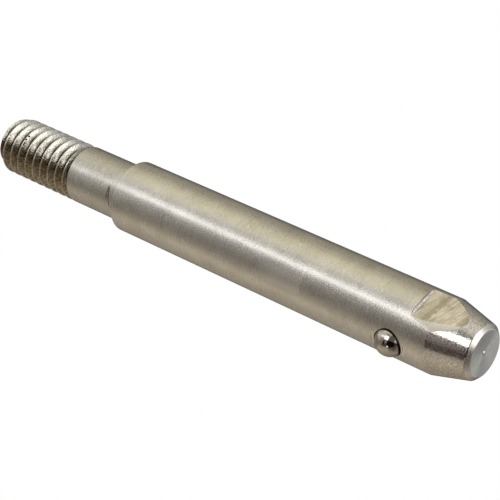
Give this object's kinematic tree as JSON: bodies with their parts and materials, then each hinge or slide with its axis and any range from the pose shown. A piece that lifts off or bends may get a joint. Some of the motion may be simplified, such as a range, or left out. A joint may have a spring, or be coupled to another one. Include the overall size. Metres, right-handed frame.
{
  "type": "locating pin",
  "caption": "Turned steel locating pin with a threaded stub, a tapered tip, a milled flat and a spring-loaded detent ball.",
  "frame": {"origin": "centre of the threaded stub's flat end face, on the pin's axis", "axes": "+Z along the pin from the stub to the tip, +X through the detent ball"},
  "size_m": [0.0108, 0.0096, 0.0765],
  "materials": {
    "stainless_pin": "satin turned and ground stainless steel",
    "polished_ball": "polished bearing steel",
    "spring_wire": "drawn spring wire"
  },
  "bodies": {
    "pin": {"pin_body": "stainless_pin", "detent_spring": "spring_wire"},
    "ball": {"detent_ball": "polished_ball"}
  },
  "joints": [
    {"name": "ball_press", "type": "slide", "parent": "pin", "child": "ball", "axis": [-1, 0, 0], "range_m": [0, 0.0013], "stiffness_N_per_m": 2000, "springref_m": -0.0005, "deforming": ["detent_spring"]}
  ]
}
